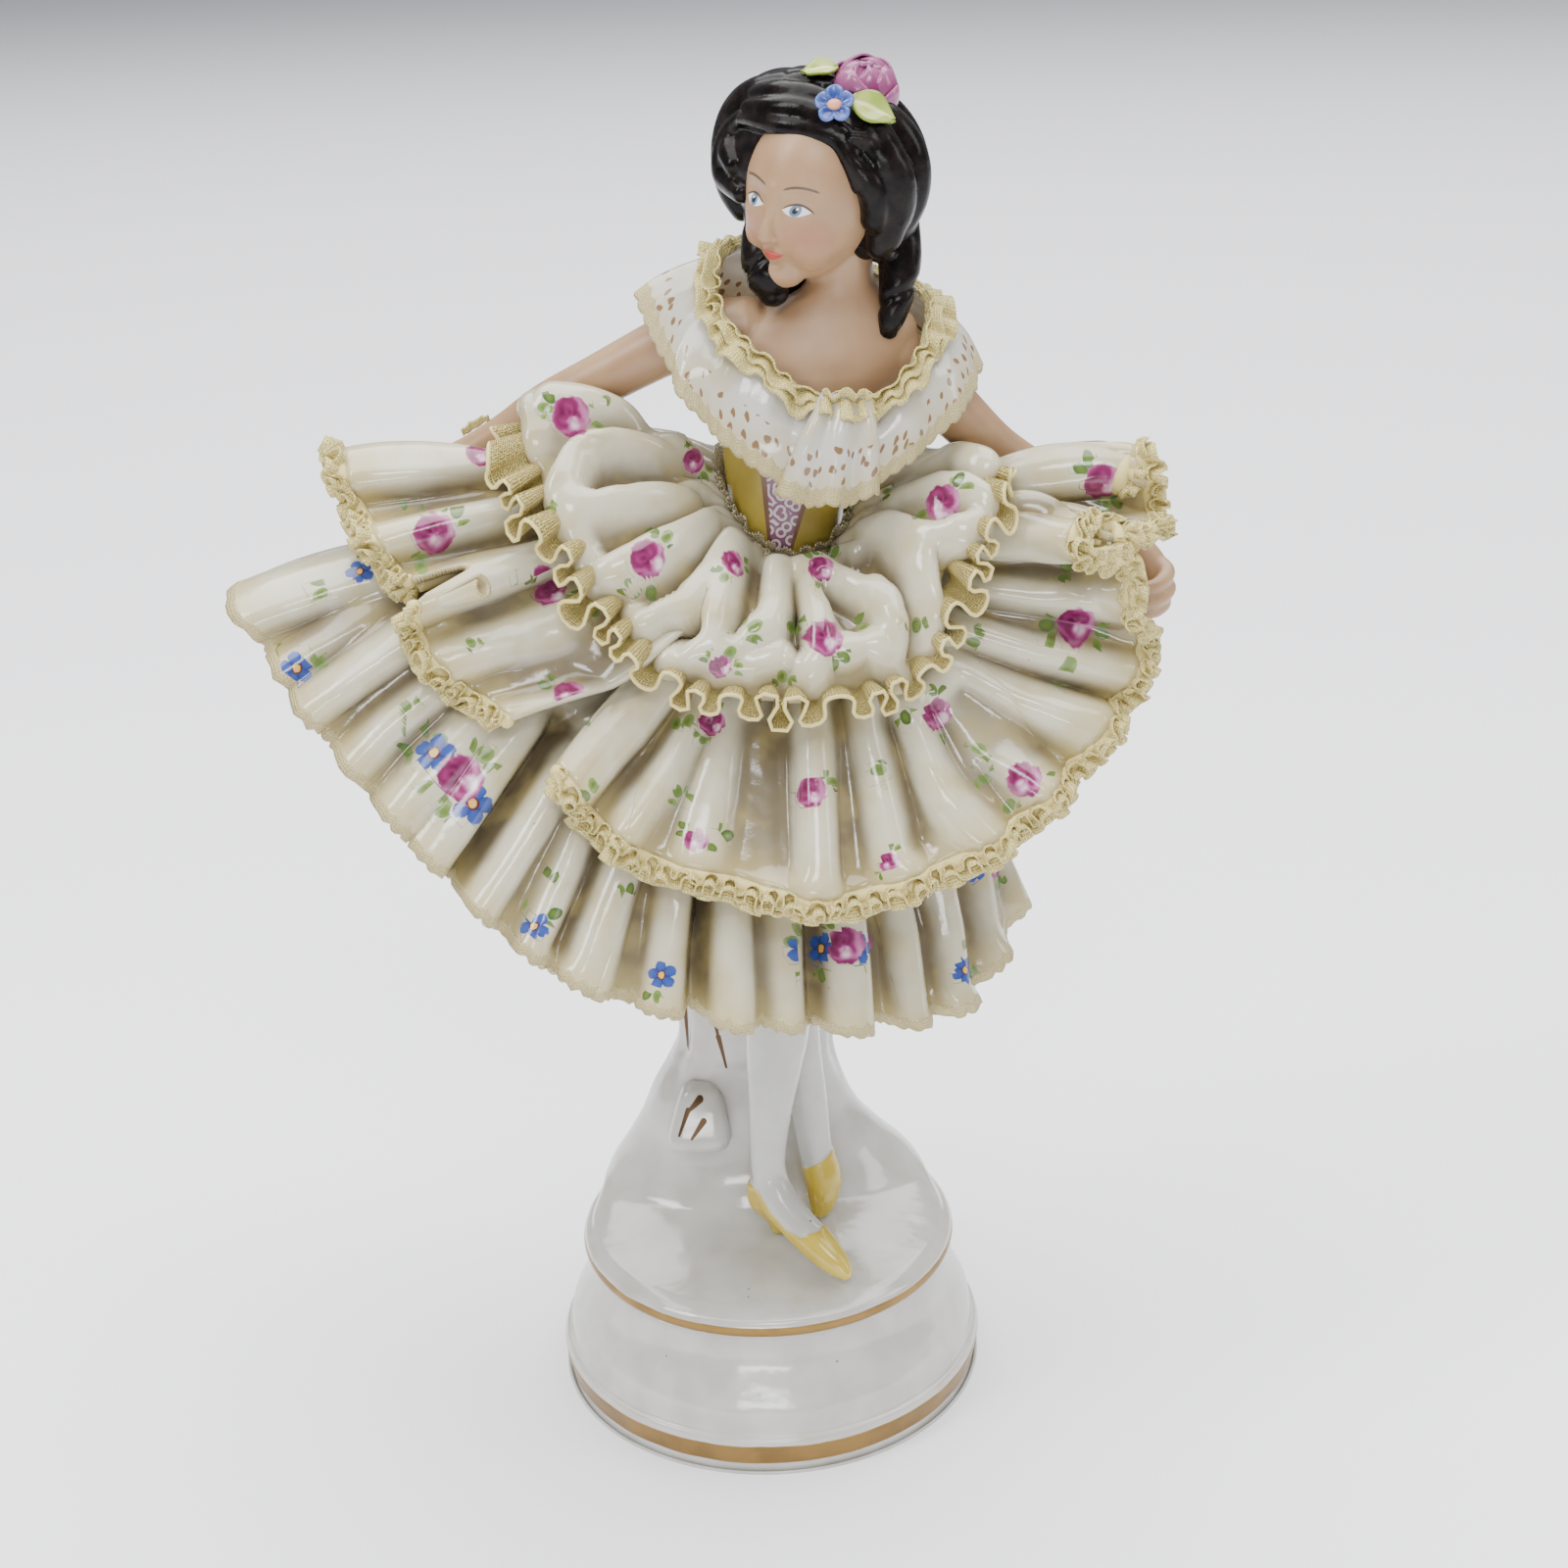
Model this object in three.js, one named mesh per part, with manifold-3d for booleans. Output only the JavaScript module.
import * as THREE from 'three';
import Module from 'manifold-3d';

const wasm = await Module();
wasm.setup();

// Porcelain dancer in a lace dress, millimetres, +Z up, origin at the centre of the underside.
// The front faces -Y; the lifted sides of the skirts reach out along X.

// General sizes
const GAP = 0.4; // clear space left between neighbouring pieces
const SKIRT_WALL = 1.1; // thickness of the dipped lace cloth
const COLLAR_WALL = 1.2;
const LACE_WALL = 1.0;
const LIMB_SIDES = 8;

// Turned foot and mound
const FOOT_SIDES = 32;
const FOOT_R = 40; // widest line, at the top edge of the lower gold band
const FOOT_PROFILE = [ // how far inside the widest line, height
  [1, 0],
  [0.6, 2],
  [0, 6],
  [0.4, 7.3],
  [1.2, 8],
  [1.8, 11.7],
  [3.6, 15.6],
  [5.6, 19.6],
  [6.6, 23.8],
  [5.1, 26.2],
  [4.8, 27.6],
  [5.3, 29],
];
const MOUND = [ // height, then the reach to -X, +X, -Y and +Y
  [30.3, 33.2, 33, 32, 33.4],
  [31.6, 32, 31.6, 20, 32.4],
  [33.2, 31, 30, 9.5, 31.6],
  [36, 29.4, 27.4, 5.6, 30.4],
  [40, 26.9, 23.4, 3.4, 28],
  [46, 23.6, 18.5, 1.8, 25],
  [52, 21, 15.6, 0.4, 22.4],
  [59, 17.2, 13.5, -1.2, 20],
  [66, 15.2, 13.3, -2, 18],
  [88, 14, 12.6, -2.6, 16.6],
  [111, 9, 11, -4, 14],
];
const STUMP_FACE = { x: -12.6, y: 1.4, z: 53.2, w: 13, d: 9, h: 12 }; // cut face of the tree stump

// The dancer
const TORSO = [ // centre x, y, z, half width, half depth
  [6, 0, 114, 9.5, 8],
  [6, 0, 120, 11.8, 9.8],
  [6, 0.2, 136, 12.4, 10.4],
  [6.2, 0.5, 150, 11, 9.2],
  [7, 0.8, 160, 9.2, 7.4],
  [7.4, 0.8, 168, 9.3, 7.2],
  [8.6, 0.6, 176, 11, 8.2],
  [10.8, 0.3, 185, 13.8, 9],
  [12.6, 0.8, 193, 16.6, 8.2],
  [14.3, 1.5, 199, 15.4, 6.4],
  [16.2, 2, 202.6, 9.6, 5.4],
  [17.4, 2.2, 206, 5.5, 5],
  [17.8, 1.6, 213, 5.2, 5],
];
const FRONT_LEG = [ // centre x, y, z, radius, from the hip to the toe
  [3, -3, 128, 8.2],
  [3.4, -7, 108, 7.4],
  [3.2, -10.5, 92, 6.4],
  [3, -12.6, 78, 5.8],
  [2.2, -13, 70, 5.1],
  [1.2, -13, 61, 4.1],
  [0.4, -13, 49, 3.4],
  [1.2, -14.6, 43.4, 3.6],
  [5, -18.6, 39.2, 3.3],
  [9.6, -23.6, 35.6, 2.9],
  [13.2, -26.8, 33.2, 1.8],
];
const FRONT_HEEL = [[-1.4, -12.2, 41.6, 3.1], [0.3, -11.8, 37.4, 2.1], [1.7, -11.6, 34.6, 1.4]];
const REAR_LEG = [
  [9.5, -1, 128, 7.8],
  [9.4, -4, 110, 6.4],
  [7.6, -4, 90, 4.9],
  [6.4, -3.6, 72, 4.3],
  [8.2, -4.2, 56, 3.6],
  [9.3, -4.9, 46.4, 3.2],
  [10.5, -6.2, 41, 3.3],
  [10.3, -8, 37.4, 2.6],
  [9.7, -9, 35.6, 1.7],
];
const LEFT_ARM = [ // the arm on the -X side
  [2, 2.4, 198.4, 5.4],
  [-5, 2.6, 198, 5.2],
  [-11.5, 3, 196, 4.8],
  [-23.1, 4.4, 190.2, 4.4],
  [-31.8, 6.4, 185.6, 4.2],
  [-38.8, 8, 181.2, 3.6],
  [-45.6, 9, 177.4, 3.2],
  [-52.4, 9.4, 175.2, 2.6],
  [-57.4, 9.6, 175.2, 2.8],
  [-60.2, 9.4, 174.6, 2],
];
const RIGHT_ARM = [
  [26, 1.8, 193, 5.6],
  [33.8, 2.4, 186, 4.9],
  [42.6, 5.6, 176.6, 4.3],
  [50.4, 8.6, 170.4, 4],
  [58, 9.8, 165.2, 3.3],
  [66.6, 9.4, 158.6, 2.6],
  [71, 7.6, 153, 3.3],
  [71.6, 6.2, 149, 3.1],
];
const HEAD_AT = [14.1, 0.5, 221.6];
const HEAD_TURN = 38; // degrees to the -X side of the front
const HEAD_DOWN = 6; // degrees below level
const HEAD_LEAN = 12; // degrees that the crown leans to +X
const SKULL_R = [11.4, 13.8, 12.6]; // across, up, forward
const FACE_R = [9.6, 12.2, 10];
const HAIR_R = [17.4, 14.8, 13.4];
const HAIR_SHIFT = [-2.2, 1.4, -2.6]; // from the middle of the skull: across, up, forward
const CURLS = [ // x, y, z, radius along each hanging curl
  [[4.6, 0.6, 214.6, 3.2], [5.4, -1.8, 210.6, 4.2], [6, -2.8, 206.4, 3.6]],
  [[22.4, -3.5, 225, 4.6], [24.4, -5, 219, 4.2], [24, -5.4, 211.6, 2.8]],
  [[26.6, 1.2, 214, 4.2], [27, -0.8, 207.4, 3.5], [24.9, -3.6, 198.8, 2]],
  [[25.4, 3, 224, 5.4], [25.6, 3.4, 216, 5.4], [24.8, 3, 211, 4.6]],
];

// Collar
const NECKLINE = [ // x, y, z of the upper edge
  [-1.6, 4, 209.2], [-2.6, -1, 203.4], [3, -8.6, 197.2], [12.2, -11.4, 190.4],
  [23.4, -10, 190], [29.4, -5, 195.4], [31, 3, 201.6], [26, 10, 204], [15, 12, 207], [4, 10.6, 210.4],
];
const COLLAR_EDGE = [ // x, y, z of the lower edge
  [-14.6, 2, 205], [-10.2, -8.6, 193.2], [-2, -13.6, 183.4], [10.8, -16.4, 175.4], [21.4, -15.6, 176.6],
  [33.8, -9.6, 184.4], [39.6, 1.2, 190.2], [35.6, 12, 190], [20, 17, 190], [-2, 16.6, 199],
];

// Skirts
// A skirt runs from a waist ring to a hem. Each hem station is the crest of one pleat.
const UNDER = {
  waist: { x: 6.5, y: 0.5, z: 146, rx: 15.5, ry: 13.5, lean: 0, dip: 0 },
  // seen from above the hem is an oval, shorter behind the lifted side; it climbs gently
  // to -X, then steeply from x = turn on, where the hand lifts the skirts
  hem: {
    x: -19.5, rx: 67, rxBehind: 62, ry: 47.5, low: 87.4, lowAt: 25,
    climb: 0.22, turn: -33, steep: 0.95, bend: 12,
    kickAt: 30, kick: 0.05, // and curls up again at the +X end
  },
  // azimuths of the pleat crests across the front, then evenly spaced pleats behind
  front: [-180, -160, -141, -132, -120, -113, -101, -94, -85, -77, -68, -60, -53, -44, -34, -22, -11],
  behind: 10,
  lift: 3, liftSide: 19, depth: 3.2, rows: [0, 0.5, 1],
};
const MIDDLE = {
  waist: { x: 6.5, y: 0, z: 157.5, rx: 12.6, ry: 11, lean: 0.03, dip: 3 },
  front: [
    [-32.2, -37.3, 136.8], [-26.5, -39.5, 128.5], [-18, -41.5, 121.5], [-8, -42.5, 118.5],
    [9.5, -44.5, 114], [22.5, -41, 114.5], [37, -37.5, 119], [48.2, -32.6, 124.7],
    [57.5, -26.5, 133], [65.2, -19.1, 141.3], [67, -16.7, 150.5], [63, -18, 162],
    [66.6, -12.8, 170.6], [66.6, -5, 177.4], [62.6, 1.4, 166.4],
  ],
  back: { rx: 62, ry: 42, low: 123, riseLeft: 45, riseRight: 28, from: 18, step: 18 },
  left: [
    [-66.9, 0, 179.3], [-64.5, -12, 174.5], [-57.5, -22, 166], [-52.5, -27, 157],
    [-45.8, -31.1, 149.9], [-38.9, -34.7, 143.5],
  ],
  // the cloth stops short of the hem line by the width of its gathered lace
  lift: 6, liftSide: 11, depth: 3.4, rows: [0, 0.47, 0.94],
};
const OVER = {
  waist: { x: 7.6, y: 0.4, z: 175, rx: 12.2, ry: 10, lean: 0.2, dip: 14 },
  // crests along the frill line: x, y, z and how high the puff stands
  front: [
    [-36.4, -4, 183, 13], [-36.6, -12.6, 182, 10], [-33.4, -16.8, 175, 8], [-28, -22, 168.4, 8],
    [-25.2, -24, 161.6, 8], [-19.1, -27.2, 155.8, 8], [-13.1, -29.5, 148.8, 8], [-2.3, -31.7, 145.6, 7],
    [13.4, -31.3, 144.6, 7], [26.3, -27.6, 145.8, 8], [32.2, -24.6, 153, 8], [36.4, -21.6, 161.8, 8],
    [40.4, -18.2, 168.7, 7], [42.6, -10, 175.4, 6],
  ],
  back: [[39, 2, 172.4, 5], [32.6, 14, 166, 5.4], [20, 23, 161, 6], [4, 26, 159, 6], [-12, 23, 162, 6],
    [-25, 15, 168, 5], [-33, 6, 172.6, 4]],
  pull: 4.2, // the cloth is tucked in this far behind the frill line
  depth: 2.6, rows: [0, 0.3, 0.68, 1],
};
const FRILL = { width: 5.2, wave: 1.7, waves: 22, slope: 0.8 }; // standing lace frill under the puffs
const RUCHE_R = 2; // gathered lace round the middle hem
const WAIST_LACE = { r: 1, turns: 22 };

// Flowers in the hair, each seated by degrees round the head from the face, degrees above level
// and how far its middle stands off the mass of hair
const ROSE = { round: 134.4, above: 65.4, stand: 0.5, r: 5.3 };
const BLOSSOM = { round: 39.3, above: 52.9, stand: 2.1, r: 3.6 };
const LEAVES = {
  hair_leaf_front: { from: [59.7, 56, 1.15], to: [92.2, 42.3, 0.75], half: 2.6 },
  hair_leaf_back: { from: [136, 84, 1.7], to: [-52.5, 80.7, 1.05], half: 1.8 },
};

// Geometry helpers
const mix = (a, b, t) => a + (b - a) * t;
const rad = THREE.MathUtils.degToRad;
const add = (p, q, k = 1) => p.map((v, i) => v + k * q[i]);
const lerp = (p, q, t) => p.map((v, i) => mix(v, q[i], t));
const cross = (p, q) => [p[1] * q[2] - p[2] * q[1], p[2] * q[0] - p[0] * q[2], p[0] * q[1] - p[1] * q[0]];
const unit = (p) => p.map((v) => v / (Math.hypot(...p) || 1));

// value of a smooth line through b and c, f of the way from b to c
const smooth = (a, b, c, d, f) =>
  b + 0.5 * f * (c - a + f * (2 * a - 5 * b + 4 * c - d + f * (3 * (b - c) + d - a)));

// point at station s of a line through stations; a closed line wraps round
function along(stations, s, closed) {
  const n = stations.length;
  const i = Math.floor(s);
  const at = (k) => stations[closed ? (((i + k) % n) + n) % n : Math.min(n - 1, Math.max(0, i + k))];
  return at(0).map((_, a) => smooth(at(-1)[a], at(0)[a], at(1)[a], at(2)[a], s - i));
}

// solid skin over closed rings, capped at both ends
function loft(rings) {
  const n = rings[0].length;
  const v = rings.flat();
  const t = [];
  for (let r = 0; r + 1 < rings.length; r++) {
    for (let i = 0; i < n; i++) {
      const a = r * n + i;
      const b = r * n + ((i + 1) % n);
      t.push([a, b, b + n], [a, b + n, a + n]);
    }
  }
  for (const [start, flip] of [[0, true], [(rings.length - 1) * n, false]]) {
    const ring = v.slice(start, start + n);
    const c = v.push(ring.reduce((s, p) => add(s, p, 1 / n), [0, 0, 0])) - 1;
    for (let i = 0; i < n; i++) {
      const a = start + i;
      const b = start + ((i + 1) % n);
      t.push(flip ? [c, b, a] : [c, a, b]);
    }
  }
  return { v, t };
}

// cloth of even thickness between two grids of points (rows from the waist to the hem)
function cloth(outer, inner, closed) {
  const rows = outer.length;
  const n = outer[0].length;
  const v = [...outer.flat(), ...inner.flat()];
  const t = [];
  const o = (r, i) => r * n + (i % n);
  const q = (r, i) => rows * n + r * n + (i % n);
  const quad = (a, b, c, d) => t.push([a, b, c], [a, c, d]);
  const last = closed ? n : n - 1;
  const m = rows - 1;
  for (let i = 0; i < last; i++) {
    for (let r = 0; r < m; r++) {
      quad(o(r, i), o(r + 1, i), o(r + 1, i + 1), o(r, i + 1));
      quad(q(r, i), q(r, i + 1), q(r + 1, i + 1), q(r + 1, i));
    }
    quad(o(0, i), o(0, i + 1), q(0, i + 1), q(0, i));
    quad(o(m, i), q(m, i), q(m, i + 1), o(m, i + 1));
  }
  if (!closed) {
    for (let r = 0; r < m; r++) {
      quad(o(r, 0), q(r, 0), q(r + 1, 0), o(r + 1, 0));
      quad(o(r, last), o(r + 1, last), q(r + 1, last), q(r, last));
    }
  }
  return { v, t };
}

// flips a skin that came out inside-out
function outward({ v, t }) {
  const volume = t.reduce((s, [a, b, c]) => {
    const n = cross(v[b], v[c]);
    return s + v[a][0] * n[0] + v[a][1] * n[1] + v[a][2] * n[2];
  }, 0);
  return { v, t: volume < 0 ? t.map(([a, b, c]) => [a, c, b]) : t };
}

function mesh(name, skin, colour) {
  const { v, t } = outward(skin);
  const geometry = new THREE.BufferGeometry();
  geometry.setAttribute('position', new THREE.Float32BufferAttribute(v.flat(), 3));
  geometry.setIndex(t.flat());
  geometry.computeVertexNormals();
  const made = new THREE.Mesh(geometry, new THREE.MeshStandardMaterial({ color: colour, roughness: 0.25 }));
  made.name = name;
  return made;
}

const solidOf = (skin) => {
  const { v, t } = outward(skin);
  return new wasm.Manifold(new wasm.Mesh({
    numProp: 3,
    vertProperties: Float32Array.from(v.flat()),
    triVerts: Uint32Array.from(t.flat()),
  }));
};

// one solid from overlapping skins, with other skins cut away from it
function fused(skins, cuts = []) {
  const joined = skins.map(solidOf).reduce((a, b) => a.add(b));
  const whole = cuts.map(solidOf).reduce((a, b) => a.subtract(b), joined).getMesh();
  const v = [];
  for (let i = 0; i < whole.vertProperties.length; i += whole.numProp) {
    v.push([...whole.vertProperties.slice(i, i + 3)]);
  }
  const t = [];
  for (let i = 0; i < whole.triVerts.length; i += 3) t.push([...whole.triVerts.slice(i, i + 3)]);
  return { v, t };
}

// rounded limb through stations x, y, z, radius
function limb(stations, sides = LIMB_SIDES, steps = 1) {
  const path = [];
  for (let s = 0; s <= (stations.length - 1) * steps; s++) path.push(along(stations, s / steps, false));
  const dir = path.map((p, i) => unit(add(path[Math.min(i + 1, path.length - 1)].slice(0, 3),
    path[Math.max(i - 1, 0)].slice(0, 3), -1)));
  const first = path[0];
  const last = path[path.length - 1];
  const dome = (p, d, k) => [...add(p.slice(0, 3), d, k * p[3] * 0.7), p[3] * 0.62];
  const spine = [dome(first, dir[0], -1), ...path, dome(last, dir[dir.length - 1], 1)];
  const dirs = [dir[0], ...dir, dir[dir.length - 1]];
  let side = unit(cross(dirs[0], [0.3, 1, 0.2]));
  return loft(spine.map((p, i) => {
    const up = unit(cross(dirs[i], side));
    side = unit(cross(up, dirs[i]));
    return Array.from({ length: sides }, (_, k) => {
      const a = (k / sides) * 2 * Math.PI;
      return add(add(p.slice(0, 3), side, p[3] * Math.cos(a)), up, p[3] * Math.sin(a));
    });
  }));
}

// egg with its own axes: across, up, forward
function egg(centre, radii, axes, sides = 16, rows = 8) {
  const rings = [];
  for (let r = 0; r < rows; r++) {
    const a = Math.PI * ((r + 0.5) / rows - 0.5);
    rings.push(Array.from({ length: sides }, (_, k) => {
      const b = (k / sides) * 2 * Math.PI;
      let p = add(centre, axes[1], radii[1] * Math.sin(a) * 1.02);
      p = add(p, axes[0], radii[0] * Math.cos(a) * Math.cos(b));
      return add(p, axes[2], radii[2] * Math.cos(a) * Math.sin(b));
    }));
  }
  return loft(rings);
}

// Foot, mound and stump
function base() {
  const ring = (z, left, right, front, back) => Array.from({ length: FOOT_SIDES }, (_, k) => {
    const a = (k / FOOT_SIDES) * 2 * Math.PI;
    return [
      (right - left) / 2 + ((right + left) / 2) * Math.cos(a),
      (back - front) / 2 + ((back + front) / 2) * Math.sin(a),
      z,
    ];
  });
  const rings = [
    ...FOOT_PROFILE.map(([inside, z]) => ring(z, ...Array(4).fill(FOOT_R - inside))),
    ...MOUND.map(([z, left, right, front, back]) => ring(z, left, right, front, back)),
  ];
  const { x, y, z, w, d, h } = STUMP_FACE;
  const slab = (k, grow, lean) => [[-1, -1], [0.55, -1], [1, 0.2], [1, 1], [-1, 1], [-1.25, 0.1]].map(
    ([i, j]) => [x + (i * w * grow) / 2 + lean, y + (j * d * grow) / 2, z + k * h],
  );
  const stub = loft([slab(-0.5, 0.9, 1), slab(-0.35, 1, 1), slab(0.3, 0.86, 0), slab(0.5, 0.6, 0)]);
  return fused([loft(rings), stub]);
}

// The dancer
function headAxes() {
  const t = rad(HEAD_TURN);
  const d = rad(HEAD_DOWN);
  const forward = unit([-Math.sin(t) * Math.cos(d), -Math.cos(t) * Math.cos(d), -Math.sin(d)]);
  const lean = [Math.sin(rad(HEAD_LEAN)), 0, Math.cos(rad(HEAD_LEAN))];
  const dot = lean.reduce((s, v, i) => s + v * forward[i], 0);
  const up = unit(add(lean, forward, -dot));
  return [cross(up, forward), up, forward];
}

const hairCentre = () => headAxes().reduce((p, axis, i) => add(p, axis, HAIR_SHIFT[i]), HEAD_AT);

// mass of combed hair; grown by a clearance it seats the flowers
function hairCap(grow) {
  return egg(hairCentre(), HAIR_R.map((r) => r + grow), headAxes(), 16, 8);
}

// point over the mass of hair
function overHair(round, above, stand) {
  const level = Math.cos(rad(above));
  const share = [Math.sin(rad(round)) * level, Math.sin(rad(above)), Math.cos(rad(round)) * level];
  const reach = headAxes().reduce((p, axis, i) => add(p, axis, share[i] * HAIR_R[i]), [0, 0, 0]);
  return add(add(hairCentre(), reach), unit(reach), stand);
}

function figure() {
  const torso = loft(TORSO.map(([x, y, z, rx, ry]) => Array.from({ length: 16 }, (_, k) => {
    const a = (k / 16) * 2 * Math.PI;
    return [x + rx * Math.cos(a), y + ry * Math.sin(a), z];
  })));
  const axes = headAxes();
  const inHead = (a, u, f) => add(add(add(HEAD_AT, axes[0], a), axes[1], u), axes[2], f);
  const face = egg(inHead(0, -2.6, 3.4), FACE_R, axes, 14, 7);
  const chin = egg(inHead(0, -12, 8.6), [3.6, 3, 3.2], axes, 8, 4);
  const nose = egg(inHead(0, -3.6, 12.9), [1.1, 2.4, 1.4], axes, 6, 3);
  const skull = egg(HEAD_AT, SKULL_R, axes, 12, 6);
  return fused([
    torso, skull, face, chin, nose, hairCap(0),
    ...CURLS.map((c) => limb(c, 6)),
    limb(FRONT_LEG, 10), limb(FRONT_HEEL, 6), limb(REAR_LEG), limb(LEFT_ARM), limb(RIGHT_ARM),
  ]);
}

// Cloth
// valley profile between two crests: 0 on the crests, 1 halfway
const valley = (s) => 1 - Math.abs(Math.cos(Math.PI * s)) ** 0.9;

// point of a waist ring at azimuth a: an oval that leans sideways and dips at the front
function waistPoint({ x, y, z, rx, ry, lean, dip }, a) {
  const wx = rx * Math.cos(a);
  const wy = ry * Math.sin(a);
  return [x + wx, y + wy, z - lean * wx - dip * ((1 - Math.sin(a)) / 2) ** 2];
}

// grids of a skirt from a waist ring to the crest line of its hem; the folds of puffed cloth
// are measured in upright planes, because its hem line climbs as steeply as the cloth itself
function skirt({ stations, closed, waist, curve, depth, rows, perPleat = 4, split = 0, puff = false }) {
  const pleats = closed ? stations.length : stations.length - 1;
  const columns = pleats * perPleat + (closed ? 0 : 1);
  const ends = (s) => {
    const hem = along(stations, s, closed);
    const a = Math.atan2((hem[1] - waist.y) / waist.ry, (hem[0] - waist.x) / waist.rx);
    return [waistPoint(waist, a), hem];
  };
  const point = (s, v) => curve(...ends(s), v);
  const across = (s, v, e) => {
    if (!puff) return add(point(s + e, v), point(s - e, v), -1);
    const [top, hem] = ends(s);
    return [top[1] - hem[1], hem[0] - top[0], 0];
  };
  const outer = rows.map(() => []);
  const inner = rows.map(() => []);
  for (let c = 0; c < columns; c++) {
    const s = c / perPleat;
    rows.forEach((v, r) => {
      const e = 0.03;
      const vb = Math.min(1, Math.max(e, v));
      const dv = add(point(s, vb), point(s, vb - e), -1);
      const normal = unit(cross(dv, across(s, vb, e)));
      const swing = 1 + 0.35 * Math.sin(s * 2.7) + 0.2 * Math.sin(s * 5.1);
      const fold = mix(valley(s), valley(2 * s) * 0.8 + 0.1, split * v * v);
      const p = add(point(s, v), normal, -depth * swing * (0.2 + 0.8 * v) * fold);
      outer[r].push(p);
      inner[r].push(add(p, normal, -SKIRT_WALL));
    });
  }
  return { outer, inner, closed };
}

const sideLift = (spec, hem) => spec.lift + spec.liftSide * Math.min(1, Math.abs(hem[0] / 66)) ** 2;
const drop = (spec) => (top, hem, v) => {
  const mid = add(lerp(top, hem, 0.5), [0, 0, sideLift(spec, hem)]);
  return lerp(lerp(top, mid, v), lerp(mid, hem, v), v);
};

function underStations() {
  const { x, rx, rxBehind, ry, low, lowAt, climb, turn, steep, bend, kickAt, kick } = UNDER.hem;
  const azimuths = [...UNDER.front];
  const end = 360 + UNDER.front[0];
  const start = UNDER.front[UNDER.front.length - 1];
  for (let k = 1; k <= UNDER.behind; k++) azimuths.push(mix(start, end, k / (UNDER.behind + 1)));
  return azimuths.map((a) => {
    const px = x + (a > -5 || a === -180 ? rxBehind : rx) * Math.cos(rad(a));
    const past = turn - px;
    const lifted = (steep / 2) * (past + Math.hypot(past, bend));
    const level = low + climb * (lowAt - px) + kick * Math.max(0, px - kickAt) ** 2;
    return [px, ry * Math.sin(rad(a)), level + lifted * (a > 0 ? 0.72 : 1)];
  });
}

function middleStations() {
  const { rx, ry, low, riseLeft, riseRight, from, step } = MIDDLE.back;
  const behind = [];
  for (let a = from; a < 180; a += step) {
    const c = Math.cos(rad(a));
    behind.push([rx * c, ry * Math.sin(rad(a)), low + (c < 0 ? riseLeft * c * c : riseRight * c ** 4)]);
  }
  return [...MIDDLE.front, ...behind, ...MIDDLE.left];
}

// puffed cloth: out from the waist, over, and tucked back to the frill
const puffed = (top, [x, y, z, puff], v) => {
  const out = unit([x - top[0], y - top[1], 0]);
  const hem = add([x, y, z], out, -OVER.pull);
  const c1 = add(add(lerp(top, hem, 0.3), out, puff * 0.3), [0, 0, puff]);
  const c2 = add(add(hem, out, OVER.pull + puff * 0.5), [0, 0, puff * 1.1]);
  const a = lerp(lerp(top, c1, v), lerp(c1, c2, v), v);
  const b = lerp(lerp(c1, c2, v), lerp(c2, hem, v), v);
  return lerp(a, b, v);
};

// rope of given radius round a closed or open line of points
function rope(points, r, closed, sides = 4) {
  const n = points.length;
  const at = (i) => points[closed ? ((i % n) + n) % n : Math.min(n - 1, Math.max(0, i))];
  const rings = points.map((p, i) => {
    const d = unit(add(at(i + 2), at(i - 2), -1));
    const side = unit(cross(d, [0, 0.02, 1]));
    const up = cross(side, d);
    return Array.from({ length: sides }, (_, k) => {
      const a = (k / sides) * 2 * Math.PI;
      return add(add(p, side, r * Math.cos(a)), up, r * Math.sin(a));
    });
  });
  if (!closed) return loft(rings);
  const v = rings.flat();
  const t = [];
  for (let i = 0; i < n; i++) {
    for (let k = 0; k < sides; k++) {
      const a = i * sides + k;
      const b = i * sides + ((k + 1) % sides);
      const c = ((i + 1) % n) * sides + k;
      const d = ((i + 1) % n) * sides + ((k + 1) % sides);
      t.push([a, b, d], [a, d, c]);
    }
  }
  return { v, t };
}

const under = skirt({ ...UNDER, stations: underStations(), closed: true, curve: drop(UNDER) });
const middle = skirt({ ...MIDDLE, stations: middleStations(), closed: false, curve: drop(MIDDLE) });
const overStations = [...OVER.front, ...OVER.back];
const over = skirt({ ...OVER, stations: overStations, closed: true, curve: puffed, split: 0.7, puff: true });

// gathered lace just beyond the middle hem; where the hem turns sharply it stands out further,
// so that it stays clear of the edge on either side
function ruche() {
  const m = middle.outer.length - 1;
  const centre = (r, i) => lerp(middle.outer[r][i], middle.inner[r][i], 0.5);
  const count = middle.outer[m].length;
  const edges = Array.from({ length: count }, (_, i) => centre(m, i));
  return rope(edges.map((edge, i) => {
    const dir = unit(add(edge, centre(m - 1, i), -1));
    const beyond = [-1, 1].map((k) => {
      const next = add(edges[Math.min(count - 1, Math.max(0, i + k))], edge, -1);
      return next.reduce((sum, v, a) => sum + v * dir[a], 0);
    });
    return add(edge, dir, RUCHE_R + GAP * 2 + Math.max(0, ...beyond) * 1.3);
  }), RUCHE_R, false);
}

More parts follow.
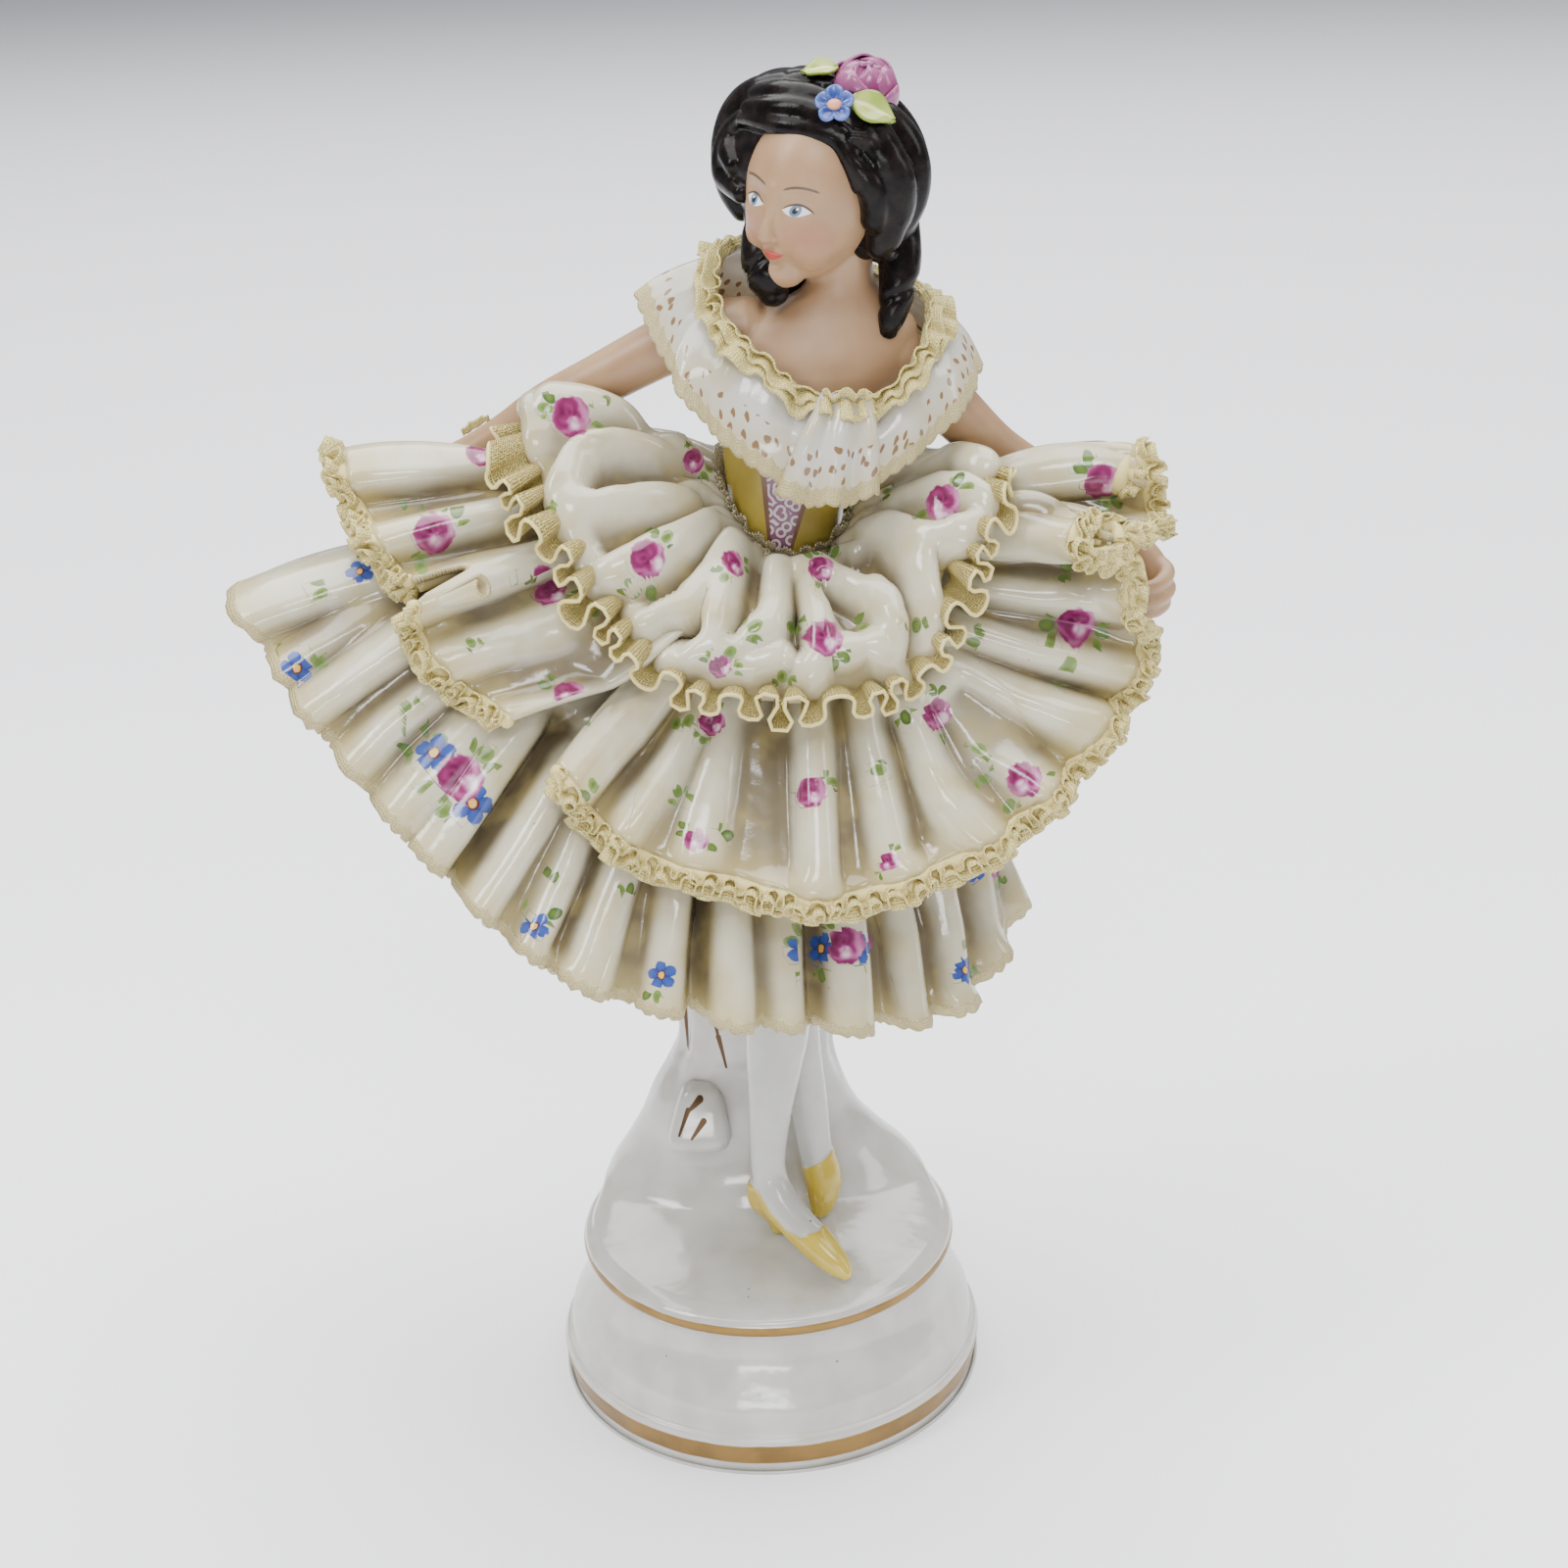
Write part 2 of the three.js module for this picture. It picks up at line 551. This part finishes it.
// waved lace frill standing out from the tucked edge of the puffs
function frill() {
  const n = overStations.length;
  const count = FRILL.waves * 4;
  const grid = (side) => [0, 1].map((v) => Array.from({ length: count }, (_, i) => {
    const s = (i / count) * n;
    const hem = along(overStations, s, true).slice(0, 3);
    const e = add(along(overStations, s + 0.05, true), along(overStations, s - 0.05, true), -1);
    const out = unit([hem[0] - OVER.waist.x, hem[1] - OVER.waist.y, 0]);
    const reach = unit([out[0], out[1], -FRILL.slope * Math.max(0.1, -out[1])]);
    const normal = unit(cross(reach, e.slice(0, 3)));
    const wave = FRILL.wave * (0.35 + 0.65 * v) * Math.sin((i / 4) * 2 * Math.PI);
    const root = add(add(hem, reach, GAP - OVER.pull * 0.6), normal, 1.2);
    return add(add(root, reach, v * FRILL.width), normal, wave + (side * LACE_WALL) / 2);
  }));
  return cloth(grid(1), grid(-1), true);
}

function waistLace() {
  const { r, turns } = WAIST_LACE;
  return rope(Array.from({ length: turns }, (_, k) => add(
    waistPoint(OVER.waist, (k / turns) * 2 * Math.PI), [0, 0, r + GAP],
  )), r, true, 4);
}

function collar() {
  const perStation = 3;
  const count = NECKLINE.length * perStation;
  const rows = [0, 0.5, 1];
  const grid = (inside) => rows.map((v) => Array.from({ length: count }, (_, i) => {
    const s = i / perStation;
    const top = along(NECKLINE, s, true);
    const edge = along(COLLAR_EDGE, s, true);
    const axis = [14, 2, mix(top[2], edge[2], 0.5)];
    const out = unit(add(lerp(top, edge, 0.5), axis, -1));
    const swell = 1.6 * Math.sin(Math.PI * v) + 0.5 * v * Math.sin(s * 2 * Math.PI);
    const away = unit([out[0], out[1], 0.55]);
    return add(lerp(top, edge, v), away, swell - (inside ? COLLAR_WALL : 0));
  }));
  return cloth(grid(false), grid(true), true);
}

// Flowers in the hair
const worldAxes = [[1, 0, 0], [0, 0, 1], [0, 1, 0]];
const seat = () => [hairCap(GAP)]; // what is cut from under each flower

function rose(grow) {
  const radii = [1, 0.95, 1].map((share) => ROSE.r * share + grow);
  return egg(overHair(ROSE.round, ROSE.above, ROSE.stand), radii, worldAxes, 14, 8);
}

function blossom() {
  const axes = headAxes();
  const centre = overHair(BLOSSOM.round, BLOSSOM.above, BLOSSOM.stand);
  const petals = Array.from({ length: 5 }, (_, k) => {
    const a = (k / 5) * 2 * Math.PI;
    const reach = BLOSSOM.r * 0.5;
    const p = add(add(centre, axes[0], reach * Math.cos(a)), axes[1], reach * Math.sin(a));
    return egg(p, [BLOSSOM.r * 0.52, BLOSSOM.r * 0.52, 0.9], axes, 5, 3);
  });
  const heart = egg(add(centre, axes[2], 0.4), [1.4, 1.4, 1], axes, 6, 3);
  return fused([...petals, heart], [...seat(), rose(GAP)]);
}

function leaf({ from, to, half }) {
  const [root, tip] = [overHair(...from), overHair(...to)];
  const d = unit(add(tip, root, -1));
  const side = unit(cross(d, [0, -0.8, 0.6]));
  const up = cross(side, d);
  const rings = [0, 0.3, 0.65, 1].map((v) => {
    const w = half * (0.25 + 0.75 * Math.sin(Math.PI * (0.15 + 0.75 * v)));
    const c = lerp(root, tip, v);
    return [[1, 0], [0, 0.35], [-1, 0], [0, -0.35]].map(([i, j]) => add(add(c, side, w * i), up, w * j));
  });
  return fused([loft(rings)], [...seat(), rose(GAP)]);
}

// The whole figurine
const object = new THREE.Group();
object.name = 'lace_dancer';
object.add(
  mesh('base', base(), 0xe9e6e0),
  mesh('figure', figure(), 0xe6c3a8),
  mesh('collar', collar(), 0xf4f2ea),
  mesh('waist_lace', waistLace(), 0xcfc6a2),
  mesh('underskirt', cloth(under.outer, under.inner, true), 0xe8e3d4),
  mesh('middle_skirt', cloth(middle.outer, middle.inner, false), 0xefeadc),
  mesh('overskirt', cloth(over.outer, over.inner, true), 0xf3efe4),
  mesh('overskirt_frill', frill(), 0xe6dcae),
  mesh('middle_ruche', ruche(), 0xe6dcae),
  mesh('hair_rose', fused([rose(0)], seat()), 0xb84a86),
  mesh('hair_blossom', blossom(), 0x4a74c4),
  ...Object.entries(LEAVES).map(([name, size]) => mesh(name, leaf(size), 0x9cbf4a)),
);

export default object;
